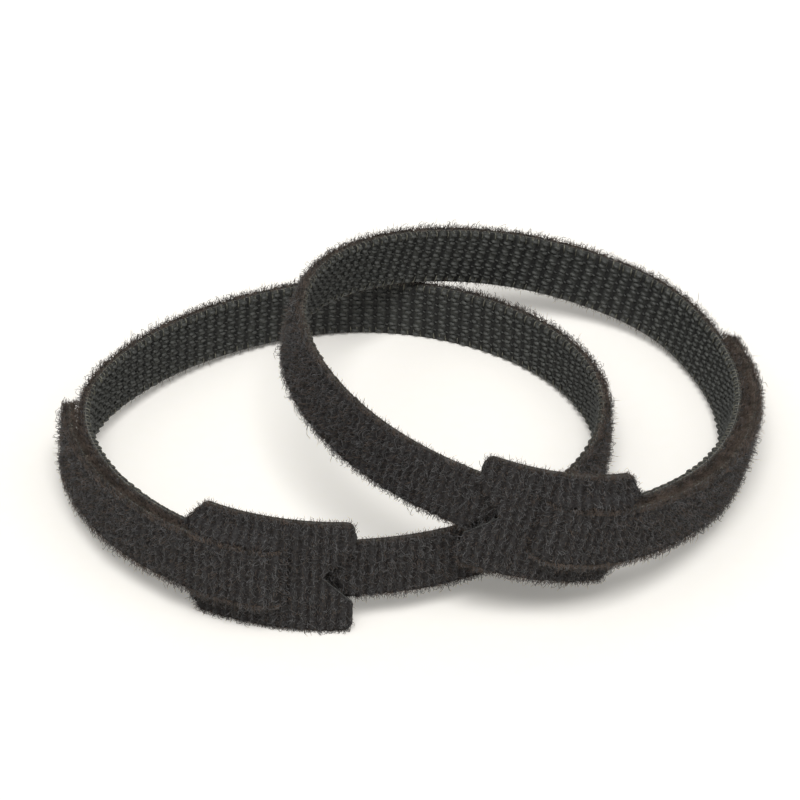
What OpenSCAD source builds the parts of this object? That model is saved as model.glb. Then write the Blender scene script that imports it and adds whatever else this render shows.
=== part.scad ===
// Pair of slotted back-to-back hook-and-loop ties, each closed into a loop.
// One face of the strap is napped loop pile, the other is woven hook cloth.
// Each tie stands on edge. The second one leans on the first.

/* [Strap] */
// Width of the strap
strap_w = 10; // [8:0.5:12]
// Height of the loop pile
pile_t = 0.9; // [0.5:0.1:1.2]
// Thickness of the cloth that the pile stands on
loop_cloth_t = 0.35; // [0.2:0.05:0.6]
// Thickness of the bonding film between the two cloths
film_t = 0.15; // [0.1:0.05:0.3]
// Thickness of the cloth that the hooks stand on
hook_cloth_t = 0.4; // [0.2:0.05:0.6]
// Height of the hooks
hook_h = 0.6; // [0.4:0.05:0.9]

/* [Head] */
// Width of the slotted head
head_w = 20; // [16:0.5:24]
// Length of the head, from the prong tips to where it has narrowed to the strap
head_len = 30.5; // [25:0.5:32]
// Length of the sloping shoulders
shoulder_len = 4; // [2:0.5:6]
// Radius of the prongs' outer corners
prong_corner_r = 1.6; // [0.5:0.1:2.4]
// Depth of the notch between the prongs
notch_depth = 5; // [3:0.25:6]
// Radius at the bottom of the notch
notch_r = 1; // [0.5:0.1:1.5]
// Distance from the prong tips to the middle of the slot
slot_at = 11.5; // [10.5:0.25:14]
// Spare length of the slot beyond each edge of the strap
slot_side_gap = 0.4; // [0.2:0.1:1]

/* [Closing] */
// Gap between two layers that lie on each other
layer_gap = 0.2; // [0.15:0.05:0.5]
// Radius of each bend of the strap where it comes through the slot
slot_bend_r = 4; // [3:0.25:5]
// Gap between the strap and the edges of the slot that it passes
slot_edge_gap = 0.15; // [0.1:0.05:0.3]
// Length of the lower tie's tail, from where it has come through the slot
lower_tail_len = 60.4; // [50:0.2:70]
// Length of the upper tie's tail, from where it has come through the slot
upper_tail_len = 88.5; // [78:0.5:98]
// Way from the slot to the first bend line of the tail
peel_start = 16; // [12:0.5:24]
// Gap at each bend line of the tail
bend_gap = 0.1; // [0.05:0.05:0.3]

/* [Hooks] */
// Spacing of the hooks along the strap
hook_pitch = 7.2; // [5:0.1:9]
// Rows of hooks across the strap
hook_rows = 4; // [3:1:5]
// Thickness of a hook
hook_wire = 0.36; // [0.24:0.02:0.5]

/* [Loops] */
// Mean radius of the lower loop
lower_loop_r = 44; // [42:0.5:46]
// Mean radius of the upper loop
upper_loop_r = 42; // [40.5:0.5:43.5]
// Place of the upper loop's centre to the right of the lower one's
upper_x = 28.4; // [26:0.1:31]
// Place of the upper loop's centre behind the lower one's
upper_y = 6.3; // [5:0.1:10]
// Gap between the upper tie and the edge that it lies on
rest_gap = 0.3; // [0.2:0.05:0.6]

/* [Hidden] */

// Bend radius of the head, then of the stretches of band after it, as shares of
// the loop radius. The last two stretches are worked out, so that the loop closes.
lower_bends = [0.82, 1.09, 0.79, 1.45, 0.82, 0.87, 0.9];
upper_bends = [0.67, 1.64, 1.22, 0.55, 0.87, 1.17, 1.04];
// Direction that each prong end points to, seen from above
lower_turn = 189.6;
upper_turn = -14.8;
// Direction in which the upper tie leans down to the floor, and the distance along
// it from there to where the tie crosses the lower one
lean_to = 20;
lean_span = 53.7;
// Middle of the whole pair, from the centre of the lower loop
middle_x = 11;
middle_y = 1.97;

tail_parts = 3;
seam = 0.02;                    // glue line between two plies
stack_t = hook_h + hook_cloth_t + film_t + loop_cloth_t + pile_t + 4*seam;
pitch = stack_t + layer_gap;    // from one layer to the next
chord_gap = 0.03;               // how far a chord may lie off its arc
neck = 1;                       // straight end of the head, as wide as the strap
cut_over = 1;                   // how far a cutter reaches past what it cuts
tail_corner_r = 1.2;            // corners of the tail end
corner_steps = 6;               // chords that a rounded corner is drawn in
hook_slice = 0.12;              // slice of cloth at the hooks' feet
hook_rise = hook_h - hook_slice;
hook_lean = 0.7;                // how far a hook's tip leans along the strap

// Distance from the strap's middle to each ply's inner face, outwards positive
at_hooks = -stack_t/2;
at_hook_cloth = at_hooks + hook_h + seam;
at_film = at_hook_cloth + hook_cloth_t + seam;
at_loop_cloth = at_film + film_t + seam;
at_pile = at_loop_cloth + loop_cloth_t + seam;
at_slice = at_hook_cloth - seam - hook_slice;

// --- Path of a tie ---------------------------------------------------------------
// A tie's path starts between its prong tips and turns left. A stretch is
// [centre, radius, first heading, last heading, side]; side is 1 where it turns
// left and -1 where it turns right.
function turn(a, b) = [sin(b) - sin(a), cos(a) - cos(b)];
function left_of(a) = [-sin(a), cos(a)];
function sum2(v, i = 0) = i >= len(v) ? [0, 0] : v[i] + sum2(v, i + 1);
function arc_len(s) = s[1]*abs(s[3] - s[2])*PI/180;
function total_len(v, i = 0) = i >= len(v) ? 0 : arc_len(v[i]) + total_len(v, i + 1);

function headings(head_r, n) =
  let (h = head_len/head_r*180/PI)
  concat([0], [for (i = [0:n]) h + (360 - h)*i/n]);

// Radii of all stretches; the last two bring the end one layer inside the start
function closed_radii(bends, loop_r) =
  let (
    r = bends*loop_r,
    n = len(r),
    h = headings(r[0], n + 1),
    way = [0, pitch] - sum2([for (i = [0:n - 1]) r[i]*turn(h[i], h[i + 1])]),
    a = turn(h[n], h[n + 1]),
    b = turn(h[n + 1], h[n + 2]),
    d = a.x*b.y - a.y*b.x
  )
  concat(r, [(way.x*b.y - way.y*b.x)/d, (a.x*way.y - a.y*way.x)/d]);

function starts(r, h, i = 0, p = [0, 0]) =
  i >= len(r) ? [] : concat([p], starts(r, h, i + 1, p + r[i]*turn(h[i], h[i + 1])));

function loop_path(bends, loop_r) =
  let (
    r = closed_radii(bends, loop_r),
    h = headings(r[0], len(r) - 1),
    p = starts(r, h)
  )
  [for (i = [0:len(r) - 1]) [p[i] + r[i]*left_of(h[i]), r[i], h[i], h[i + 1], 1]];

// The part of a path between two headings, moved outwards
function between(path, from, to, out = 0) =
  [for (s = path) if (s[3] > from + 0.001 && s[2] < to - 0.001)
    [s[0], s[1] + out, max(s[2], from), min(s[3], to), s[4]]];

// Heading that lies a given way along a path
function heading_at(path, way, i = 0) =
  let (l = arc_len(path[i]))
  way <= l || i == len(path) - 1
    ? path[i][2] + way/path[i][1]*180/PI
    : heading_at(path, way - l, i + 1);

// Way through the slot: from one layer inside the head to one layer outside it
function slot_turn(head_r) =
  let (a = head_r - pitch + slot_bend_r, b = head_r + pitch - slot_bend_r)
  acos((a*a + b*b - 4*slot_bend_r*slot_bend_r)/(2*a*b));
function slot_heading(head_r) = slot_at/head_r*180/PI;
function slot_path(head_r) =
  let (
    c = [0, head_r],
    half = slot_turn(head_r)/2,
    h1 = slot_heading(head_r) - half,
    h2 = slot_heading(head_r) + half,
    c1 = c - (head_r - pitch + slot_bend_r)*left_of(h1),
    c2 = c - (head_r + pitch - slot_bend_r)*left_of(h2),
    mid = atan2(c2.y - c1.y, c2.x - c1.x) - 90
  )
  [[c1, slot_bend_r, h1, mid, -1], [c2, slot_bend_r, mid, h2, 1]];

// --- One tie -----------------------------------------------------------------------
// [head radius, loop path, path of the band with its way through the slot, path of
// the outer layer, heading of the tail end, headings of the bend lines]
function tie(bends, loop_r, tail_len) =
  let (
    loop = loop_path(bends, loop_r),
    head_r = loop[0][1],
    half = slot_turn(head_r)/2,
    h_in = slot_heading(head_r) - half,
    h_out = slot_heading(head_r) + half,
    band = [for (i = [1:len(loop) - 1]) loop[i]],
    under = [[[0, head_r], head_r - pitch, 360, 360 + h_in, 1]],
    through = slot_path(head_r),
    outer = between(loop, h_out, 300, pitch),
    tail_end = heading_at(outer, tail_len),
    peel = heading_at(outer, peel_start),
    links = [for (i = [0:tail_parts]) peel + (tail_end - peel)*i/tail_parts]
  )
  [head_r, loop, concat(band, under, through), outer, tail_end, links];

lower = tie(lower_bends, lower_loop_r, lower_tail_len);
upper = tie(upper_bends, upper_loop_r, upper_tail_len);

// --- Plies along a path ------------------------------------------------------------
// Steps that a stretch is drawn in, so that no chord lies further than chord_gap off
function steps(s) =
  ceil(abs(s[3] - s[2])/(2*acos(1 - chord_gap/(s[1] + stack_t/2))) - 0.001);
function step_heading(s, k) = s[2] + (s[3] - s[2])*k/steps(s);
function at_stretch(s, h, out) = s[0] - s[4]*(s[1] + s[4]*out)*left_of(h);

// Points of a path, moved outwards
function edge(path, out) =
  let (last = path[len(path) - 1])
  concat([for (s = path, k = [0:steps(s) - 1]) at_stretch(s, step_heading(s, k), out)],
         [at_stretch(last, last[3], out)]);
function reversed(v) = [for (i = [1:len(v)]) v[len(v) - i]];

// A ply on edge: from and to are its faces, outwards positive, and w its width
module ply(path, from, to, w) {
  linear_extrude(w, center = true) polygon(concat(edge(path, to), reversed(edge(path, from))));
}

// Frame at a heading of a path: x along it, y inwards, z up the width
module at_heading(path, h) {
  i = max([for (k = [0:len(path) - 1]) path[k][2] <= h ? k : 0]);
  translate(path[i][0]) rotate(h) translate([0, -path[i][1]]) children();
}

// Cuts a flat outline, x along the strap and y across it, right through its plies
module punch() {
  depth = stack_t + 2*cut_over;
  translate([0, depth/2]) rotate([90, 0, 0]) linear_extrude(depth) children();
}

// --- Head ----------------------------------------------------------------------------
function arc(c, r, from, to, n) =
  [for (i = [0:n]) let (a = from + (to - from)*i/n) c + r*[cos(a), sin(a)]];

module notch_outline() {
  mouth = strap_w/2;
  mid = notch_depth - notch_r;
  slope = atan2(mouth, mid) - asin(notch_r/sqrt(mid*mid + mouth*mouth));
  polygon(concat([[-cut_over, -mouth], [0, -mouth]],
                 arc([mid, 0], notch_r, slope - 90, 90 - slope, corner_steps),
                 [[0, mouth], [-cut_over, mouth]]));
}

// What an outside corner of radius r takes off a square end
module corner_outline(w, r) {
  for (m = [0, 1]) mirror([0, m])
    polygon(concat([[-cut_over, w/2 - r]], arc([r, w/2 - r], r, 180, 90, corner_steps),
                   [[r, w/2 + cut_over], [-cut_over, w/2 + cut_over]]));
}

module shoulder_outline() {
  for (m = [0, 1]) mirror([0, m]) translate([-neck, 0])
    polygon([[-shoulder_len, head_w/2 + cut_over], [-shoulder_len, head_w/2], [0, strap_w/2],
             [neck + cut_over, strap_w/2], [neck + cut_over, head_w/2 + cut_over]]);
}

module head_ply(t, from, to) {
  head = [t[1][0]];
  difference() {
    ply(head, from, to, head_w);
    at_heading(head, 0) punch() {
      notch_outline();
      corner_outline(head_w, prong_corner_r);
    }
    at_heading(head, head[0][3]) punch() shoulder_outline();
    ply(slot_path(t[0]), -stack_t/2 - slot_edge_gap, stack_t/2 + slot_edge_gap,
        strap_w + 2*slot_side_gap);
  }
}

// --- Plies of the band and of the tail's parts ---------------------------------------
function link_gap(t) = bend_gap/2/(t[0] + pitch)*180/PI;

// The head's last step, which the strap shares with it
function head_end(t) =
  let (head = t[1][0]) between(t[1], step_heading(head, steps(head) - 1), head[3]);

module band_ply(t, from, to) {
  head_ply(t, from, to);
  ply(concat(head_end(t), t[2], between(t[3], 0, t[5][0] - link_gap(t))), from, to, strap_w);
}

function tail_path(t, k) =
  between(t[3], t[5][k - 1] + link_gap(t), t[5][k] - (k < tail_parts ? link_gap(t) : 0));

module tail_ply(t, k, from, to) {
  path = tail_path(t, k);
  difference() {
    ply(path, from, to, strap_w);
    if (k == tail_parts)
      at_heading(path, t[4]) mirror([1, 0, 0]) punch() corner_outline(strap_w, tail_corner_r);
  }
}

// --- Hooks ---------------------------------------------------------------------------
// One hook: a bent wire of three sides. Its foot is in the slice of cloth that it is
// woven into, and its tip leans along the strap.
module hook() {
  r = hook_wire/2;
  tip = hook_rise - r;
  foot = [for (a = [0:120:240]) [r*cos(a), -hook_slice/2, r*sin(a)]];
  knee = [for (a = [0:120:240]) [r*cos(a), 0.55*hook_rise, r*sin(a)]];
  end = [for (a = [0:120:240]) [hook_lean, tip - r*cos(a), r*sin(a)]];
  walls = [for (k = [0, 3], i = [0:2]) let (j = (i + 1)%3) each
    [[k + i, k + j, k + 3 + j], [k + i, k + 3 + j, k + 3 + i]]];
  polyhedron(concat(foot, knee, end), concat([[2, 1, 0], [6, 7, 8]], walls));
}

// True where the head has cloth for a hook, at way s from the prong tips and v across
function on_head(s, v) =
  let (
    side = abs(v) + hook_wire,
    taper = head_len - neck - shoulder_len,
    narrowing = max(0, s - taper)/shoulder_len*(head_w - strap_w)/2,
    notch = notch_depth*max(0, 1 - abs(v)/(strap_w/2)),
    past_slot = abs(s - slot_at) > slot_bend_r + stack_t/2 + hook_lean
  )
  side < max(strap_w/2, head_w/2 - narrowing) && s > notch + hook_wire
    && (past_slot || side > strap_w/2 + slot_side_gap + hook_wire);

// Staggered rows of hooks on a strap of width w, or on the head
module hook_rows(path, w, head = false) {
  row_gap = strap_w/hook_rows;
  for (i = [0:floor(total_len(path)/hook_pitch) - 1], j = [0:round(w/row_gap) - 1]) {
    s = hook_pitch*(i + 0.25 + (j%2)/2);
    v = (j + 0.5)*row_gap - w/2;
    if (!head || on_head(s, v))
      at_heading(path, heading_at(path, s)) translate([0, -at_slice, v]) hook();
  }
}

// The hooks stand on a slice of their cloth. Where the strap is squeezed through the slot
// it has none.
module band_hooks(t) {
  band_ply(t, at_slice, at_slice + hook_slice);
  hook_rows([t[1][0]], head_w, head = true);
  hook_rows([for (i = [0:len(t[2]) - 3]) t[2][i]], strap_w);
  hook_rows(between(t[3], 0, t[5][0] - link_gap(t)), strap_w);
}
module tail_hooks(t, k) {
  tail_ply(t, k, at_slice, at_slice + hook_slice);
  hook_rows(tail_path(t, k), strap_w);
}

// --- How the two ties stand ------------------------------------------------------------
function mean(v) = sum2(v)/len(v);
function middle_of(path) = mean([for (s = path, h = [s[2]:3:s[3]]) at_stretch(s, h, 0)]);
// How far a set of points reaches in a direction, from the middle of a loop
function reach(v, mid, dir) = max([for (p = v) (p - mid)*dir]);

// Faces of the band and of the tail that lies on it
function outside_of(t) =
  concat(edge(t[1], stack_t/2), edge(between(t[3], 0, t[4]), stack_t/2));

lower_mid = middle_of(lower[1]);
upper_mid = middle_of(upper[1]);
upper_head_pts = edge([upper[1][0]], stack_t/2);
lower_head_pts = edge([lower[1][0]], -stack_t/2);

// The lower tie is turned over. Its head's lower edge and the far side of its band
// meet the floor, so its head side is tilted up.
lower_head_way = mean(lower_head_pts) - lower_mid;
lower_head_dir = lower_head_way/norm(lower_head_way);
lower_far = reach(outside_of(lower), lower_mid, -lower_head_dir);
lower_near = -reach(lower_head_pts, lower_mid, -lower_head_dir);
lower_tilt = atan((head_w - strap_w)/2/(lower_far + lower_near));
lower_z = lower_far*sin(lower_tilt) + strap_w/2*cos(lower_tilt);
lower_up_to = lower_turn - atan2(lower_head_dir.y, lower_head_dir.x);

// The upper tie leans from the floor on to the lower one's top edge
lower_top = lower_z + strap_w/2*cos(lower_tilt);
lean = asin((lower_top + rest_gap)/lean_span);
lean_dir = [cos(lean_to - upper_turn), sin(lean_to - upper_turn)];
upper_z = max(
  reach(outside_of(upper), upper_mid, lean_dir)*sin(lean) + strap_w/2*cos(lean),
  reach(upper_head_pts, upper_mid, lean_dir)*sin(lean) + head_w/2*cos(lean));

module stand(up_to, tilt, at) {
  translate(at) rotate(a = tilt, v = [sin(up_to), -cos(up_to), 0]) children();
}
module place_lower() {
  stand(lower_up_to, lower_tilt, [-middle_x, -middle_y, lower_z])
    rotate(lower_turn) rotate([180, 0, 0]) translate(-lower_mid) children();
}
module place_upper() {
  stand(lean_to + 180, lean, [upper_x - middle_x, upper_y - middle_y, upper_z])
    rotate(upper_turn) translate(-upper_mid) children();
}

// --- Plies, from the outside in ----------------------------------------------------------
// [inner face, outer face, colour]
pile = [at_pile, at_pile + pile_t, "#232323"];
loop_cloth = [at_loop_cloth, at_loop_cloth + loop_cloth_t, "#2c2b2a"];
film = [at_film, at_film + film_t, "#4a4a48"];
hook_cloth = [at_hook_cloth, at_hook_cloth + hook_cloth_t, "#30322e"];
hook_colour = "#3c3f3a";

module lower_band(p) { color(p[2]) place_lower() band_ply(lower, p[0], p[1]); }
module upper_band(p) { color(p[2]) place_upper() band_ply(upper, p[0], p[1]); }
module lower_tail(k, p) { color(p[2]) place_lower() tail_ply(lower, k, p[0], p[1]); }
module upper_tail(k, p) { color(p[2]) place_upper() tail_ply(upper, k, p[0], p[1]); }

module lower_hooks() { color(hook_colour) place_lower() band_hooks(lower); }
module upper_hooks() { color(hook_colour) place_upper() band_hooks(upper); }
module lower_tail_hooks(k) { color(hook_colour) place_lower() tail_hooks(lower, k); }
module upper_tail_hooks(k) { color(hook_colour) place_upper() tail_hooks(upper, k); }

module lower_pile() { lower_band(pile); }
module lower_loop_cloth() { lower_band(loop_cloth); }
module lower_film() { lower_band(film); }
module lower_hook_cloth() { lower_band(hook_cloth); }
module lower_tail_1_pile() { lower_tail(1, pile); }
module lower_tail_1_loop_cloth() { lower_tail(1, loop_cloth); }
module lower_tail_1_film() { lower_tail(1, film); }
module lower_tail_1_hook_cloth() { lower_tail(1, hook_cloth); }
module lower_tail_1_hooks() { lower_tail_hooks(1); }
module lower_tail_2_pile() { lower_tail(2, pile); }
module lower_tail_2_loop_cloth() { lower_tail(2, loop_cloth); }
module lower_tail_2_film() { lower_tail(2, film); }
module lower_tail_2_hook_cloth() { lower_tail(2, hook_cloth); }
module lower_tail_2_hooks() { lower_tail_hooks(2); }
module lower_tail_3_pile() { lower_tail(3, pile); }
module lower_tail_3_loop_cloth() { lower_tail(3, loop_cloth); }
module lower_tail_3_film() { lower_tail(3, film); }
module lower_tail_3_hook_cloth() { lower_tail(3, hook_cloth); }
module lower_tail_3_hooks() { lower_tail_hooks(3); }
module upper_pile() { upper_band(pile); }
module upper_loop_cloth() { upper_band(loop_cloth); }
module upper_film() { upper_band(film); }
module upper_hook_cloth() { upper_band(hook_cloth); }
module upper_tail_1_pile() { upper_tail(1, pile); }
module upper_tail_1_loop_cloth() { upper_tail(1, loop_cloth); }
module upper_tail_1_film() { upper_tail(1, film); }
module upper_tail_1_hook_cloth() { upper_tail(1, hook_cloth); }
module upper_tail_1_hooks() { upper_tail_hooks(1); }
module upper_tail_2_pile() { upper_tail(2, pile); }
module upper_tail_2_loop_cloth() { upper_tail(2, loop_cloth); }
module upper_tail_2_film() { upper_tail(2, film); }
module upper_tail_2_hook_cloth() { upper_tail(2, hook_cloth); }
module upper_tail_2_hooks() { upper_tail_hooks(2); }
module upper_tail_3_pile() { upper_tail(3, pile); }
module upper_tail_3_loop_cloth() { upper_tail(3, loop_cloth); }
module upper_tail_3_film() { upper_tail(3, film); }
module upper_tail_3_hook_cloth() { upper_tail(3, hook_cloth); }
module upper_tail_3_hooks() { upper_tail_hooks(3); }

lower_pile();
lower_loop_cloth();
lower_film();
lower_hook_cloth();
lower_hooks();
lower_tail_1_pile();
lower_tail_1_loop_cloth();
lower_tail_1_film();
lower_tail_1_hook_cloth();
lower_tail_1_hooks();
lower_tail_2_pile();
lower_tail_2_loop_cloth();
lower_tail_2_film();
lower_tail_2_hook_cloth();
lower_tail_2_hooks();
lower_tail_3_pile();
lower_tail_3_loop_cloth();
lower_tail_3_film();
lower_tail_3_hook_cloth();
lower_tail_3_hooks();
upper_pile();
upper_loop_cloth();
upper_film();
upper_hook_cloth();
upper_hooks();
upper_tail_1_pile();
upper_tail_1_loop_cloth();
upper_tail_1_film();
upper_tail_1_hook_cloth();
upper_tail_1_hooks();
upper_tail_2_pile();
upper_tail_2_loop_cloth();
upper_tail_2_film();
upper_tail_2_hook_cloth();
upper_tail_2_hooks();
upper_tail_3_pile();
upper_tail_3_loop_cloth();
upper_tail_3_film();
upper_tail_3_hook_cloth();
upper_tail_3_hooks();
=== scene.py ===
"""Two black back-to-back hook-and-loop ties, each closed into a ring, one lying on the other.

Lengths are in millimetres until a mesh is made. A point of a tie is given flat, as
(s, v, n): s along the strap from the prong tips, v across it from its middle line, and n
out of it, positive on the pile side. tie_point() bends the flat strap to its ring.
"""

import math

import bpy
import numpy as np
from mathutils import Matrix


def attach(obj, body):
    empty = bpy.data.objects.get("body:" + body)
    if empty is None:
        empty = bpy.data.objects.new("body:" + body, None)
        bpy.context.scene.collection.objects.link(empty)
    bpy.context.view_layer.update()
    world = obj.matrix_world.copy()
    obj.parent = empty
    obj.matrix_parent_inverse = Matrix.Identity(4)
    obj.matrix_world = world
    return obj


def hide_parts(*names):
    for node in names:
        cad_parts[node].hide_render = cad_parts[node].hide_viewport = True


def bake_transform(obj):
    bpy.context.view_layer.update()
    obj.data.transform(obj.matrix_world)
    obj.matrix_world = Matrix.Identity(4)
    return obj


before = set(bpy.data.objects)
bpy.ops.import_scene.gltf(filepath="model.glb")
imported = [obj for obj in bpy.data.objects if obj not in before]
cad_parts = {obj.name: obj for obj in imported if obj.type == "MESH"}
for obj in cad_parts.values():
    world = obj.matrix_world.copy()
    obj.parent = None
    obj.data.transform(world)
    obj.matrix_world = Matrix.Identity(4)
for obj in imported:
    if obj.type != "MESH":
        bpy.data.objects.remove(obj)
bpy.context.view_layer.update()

MM = 0.001

# --- Sizes of a tie, in mm -------------------------------------------------------------
STRAP_W = 10.0
HEAD_W = 20.0
HEAD_LEN = 30.5
SHOULDER_LEN = 4.0
NECK = 1.0
PRONG_CORNER_R = 1.6
NOTCH_DEPTH = 5.0
NOTCH_R = 1.0
TAIL_CORNER_R = 1.2
SLOT_AT = 11.5
SLOT_SIDE_GAP = 0.4
SLOT_EDGE_GAP = 0.15
SLOT_BEND_R = 4.0
PEEL_START = 16.0

SEAM = 0.02
HOOK_H, HOOK_CLOTH_T, FILM_T, LOOP_CLOTH_T, PILE_T = 0.6, 0.4, 0.15, 0.35, 0.9
STACK = HOOK_H + HOOK_CLOTH_T + FILM_T + LOOP_CLOTH_T + PILE_T + 4 * SEAM
PITCH = STACK + 0.2
HOOK_CLOTH = -STACK / 2 + HOOK_H + SEAM
FILM = HOOK_CLOTH + HOOK_CLOTH_T + SEAM
LOOP_CLOTH = FILM + FILM_T + SEAM
PILE = LOOP_CLOTH + LOOP_CLOTH_T + SEAM

# Bend radius of the head, then of the stretches of band after it, as shares of the loop radius
LOWER_BENDS = [0.82, 1.09, 0.79, 1.45, 0.82, 0.87, 0.9]
UPPER_BENDS = [0.67, 1.64, 1.22, 0.55, 0.87, 1.17, 1.04]
LOWER_LOOP_R, UPPER_LOOP_R = 44, 42
LOWER_TAIL_LEN, UPPER_TAIL_LEN = 60.4, 88.5
# Heading in which the strap leaves its prong tips, in degrees, seen from above
LOWER_TURN, UPPER_TURN = 189.6, -14.8

MIDDLE = np.array([11.0, 1.97])  # of the pair, from the centre of the lower ring
UPPER_PLACE = np.array([28.4, 6.3])  # centre of the upper ring, from the centre of the lower one
REST_GAP = 0.3
LEAN_TO = 20  # direction in which the upper tie slopes down to the floor, in degrees
LEAN_SPAN = 53.7  # from where the upper tie meets the floor to where it crosses the lower one
TAIL_PARTS = 3
BLEND_WAY = 4.0  # a bend of the tail starts and ends this far from its bend line
PLIES = ("pile", "loop_cloth", "film", "hook_cloth", "hooks")
LOWER_SEED, UPPER_SEED = 1000, 2000


# --- Path of a tie -----------------------------------------------------------------------
def left_of(a):
    """Unit vector to the left of heading a, in radians."""
    return np.stack([-np.sin(a), np.cos(a)], -1)


def turn(a, b):
    """Way along a unit circle from heading a to heading b."""
    return np.array([math.sin(b) - math.sin(a), math.cos(a) - math.cos(b)])


def closed_loop(bends, loop_r):
    """Stretches of the ring as (centre, radius, first heading, last heading, side). After the
    head, the headings go round in equal steps. The last two radii solve two linear equations,
    which bring the end one layer inside the start."""
    radii = list(np.array(bends) * loop_r)
    head_turn = HEAD_LEN / radii[0]
    headings = [0.0] + list(np.linspace(head_turn, 2 * math.pi, len(radii) + 2))
    so_far = sum(r * turn(a, b) for r, a, b in zip(radii, headings, headings[1:]))
    way = np.array([0, PITCH]) - so_far
    ends = np.stack([turn(a, b) for a, b in zip(headings[-3:], headings[-2:])], 1)
    radii += list(np.linalg.solve(ends, way))
    stretches, at = [], np.zeros(2)
    for r, a, b in zip(radii, headings, headings[1:]):
        stretches.append((at + r * left_of(a), r, a, b, 1))
        at = at + r * turn(a, b)
    return stretches


def slot_stretches(head_r):
    """The strap's two bends, from one layer inside the head to one layer outside it: arcs of the
    same radius that touch each other. The law of cosines gives the angle between their centres,
    seen from the ring's."""
    a, b = head_r - PITCH + SLOT_BEND_R, head_r + PITCH - SLOT_BEND_R
    half = math.acos((a * a + b * b - 4 * SLOT_BEND_R**2) / (2 * a * b)) / 2
    first, last = SLOT_AT / head_r - half, SLOT_AT / head_r + half
    centre = np.array([0, head_r])
    c1, c2 = centre - a * left_of(first), centre - b * left_of(last)
    middle = math.atan2(c2[1] - c1[1], c2[0] - c1[0]) - math.pi / 2
    return [(c1, SLOT_BEND_R, first, middle, -1), (c2, SLOT_BEND_R, middle, last, 1)]


def make_tie(name, bends, loop_r, tail_len):
    """A tie's whole strap in order: the ring, its way under the head and through the slot, and
    the layer that lies on the ring. starts holds the length at which each stretch begins."""
    loop = closed_loop(bends, loop_r)
    head_r = loop[0][1]
    slot = slot_stretches(head_r)
    under = [(np.array([0, head_r]), head_r - PITCH, 0.0, slot[0][2], 1)]
    slot_end = slot[1][3]
    outer = [(c, r + PITCH, max(a, slot_end), b, side) for c, r, a, b, side in loop if b > slot_end]
    path = loop + under + slot + outer
    lengths = [r * abs(b - a) for _, r, a, b, _ in path]
    starts = np.concatenate([[0], np.cumsum(lengths)[:-1]])
    outer_start = starts[len(loop) + 3]
    tail_end = heading_of(outer, outer_start, outer_start + tail_len)
    first_bend = heading_of(outer, outer_start, outer_start + PEEL_START)
    bends_at = np.linspace(first_bend, tail_end, TAIL_PARTS + 1)[:-1]
    return {
        "name": name,
        "loop": loop,
        "path": path,
        "starts": starts,
        "loop_len": starts[len(loop)],
        "slot_start": starts[len(loop) + 1],
        "outer_start": outer_start,
        "len": outer_start + tail_len,
        "covered_to": length_at(loop, 0, tail_end),
        "links": [length_at(outer, outer_start, heading) for heading in bends_at],
    }


def heading_of(stretches, start, s):
    """Heading at length s of some stretches, the first of which begins at length start."""
    for _, r, a, b, _ in stretches:
        if s <= start + r * (b - a):
            return a + (s - start) / r
        start += r * (b - a)
    return stretches[-1][3]


def length_at(stretches, start, heading):
    """Length at which some stretches reach a heading, the other way round."""
    for _, r, a, b, _ in stretches:
        if heading <= b:
            return start + r * (heading - a)
        start += r * (b - a)
    return start


def bend(tie, s, v, n):
    """Tie's own coordinates of flat points: a stretch that turns left with radius r puts a point
    at its centre minus (r + n) times the left vector, and one that turns right plus (r - n)."""
    s, v, n = np.broadcast_arrays(*(np.asarray(x, float) for x in (s, v, n)))
    k = np.clip(np.searchsorted(tie["starts"], s, side="right") - 1, 0, len(tie["path"]) - 1)
    centre = np.array([p[0] for p in tie["path"]])[k]
    r, first, side = (np.array([p[i] for p in tie["path"]], float)[k] for i in (1, 2, 4))
    heading = first + side * (s - tie["starts"][k]) / r
    plan = centre - (side * r + n)[..., None] * left_of(heading)
    return np.concatenate([plan, v[..., None]], -1)


# --- How the ties stand --------------------------------------------------------------------
def rotation(angle, axis):
    """Rotation matrix about an axis, by Rodrigues' formula, with the angle in radians."""
    x, y, z = np.array(axis, float) / np.linalg.norm(axis)
    k = np.array([[0, -z, y], [z, 0, -x], [-y, x, 0]])
    return np.eye(3) + math.sin(angle) * k + (1 - math.cos(angle)) * k @ k


def raised(up_to, angle):
    """Rotation that lifts the side towards plan direction up_to."""
    return rotation(angle, [math.sin(up_to), -math.cos(up_to), 0])


def loop_middle(tie):
    """Mean of the ring's points at every third degree of each stretch."""
    points = []
    for centre, r, a, b, _ in tie["loop"]:
        h = np.arange(a, b + 1e-9, math.radians(3))
        points.append(centre - r * left_of(h))
    return np.concatenate(points).mean(0)


def reach(tie, middle, direction, s_to, n):
    """How far the strap's face at n reaches in a direction, from the middle of the ring."""
    plan = bend(tie, np.arange(0, s_to, 0.5), 0, n)[:, :2]
    return ((plan - middle) @ direction).max()


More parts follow.
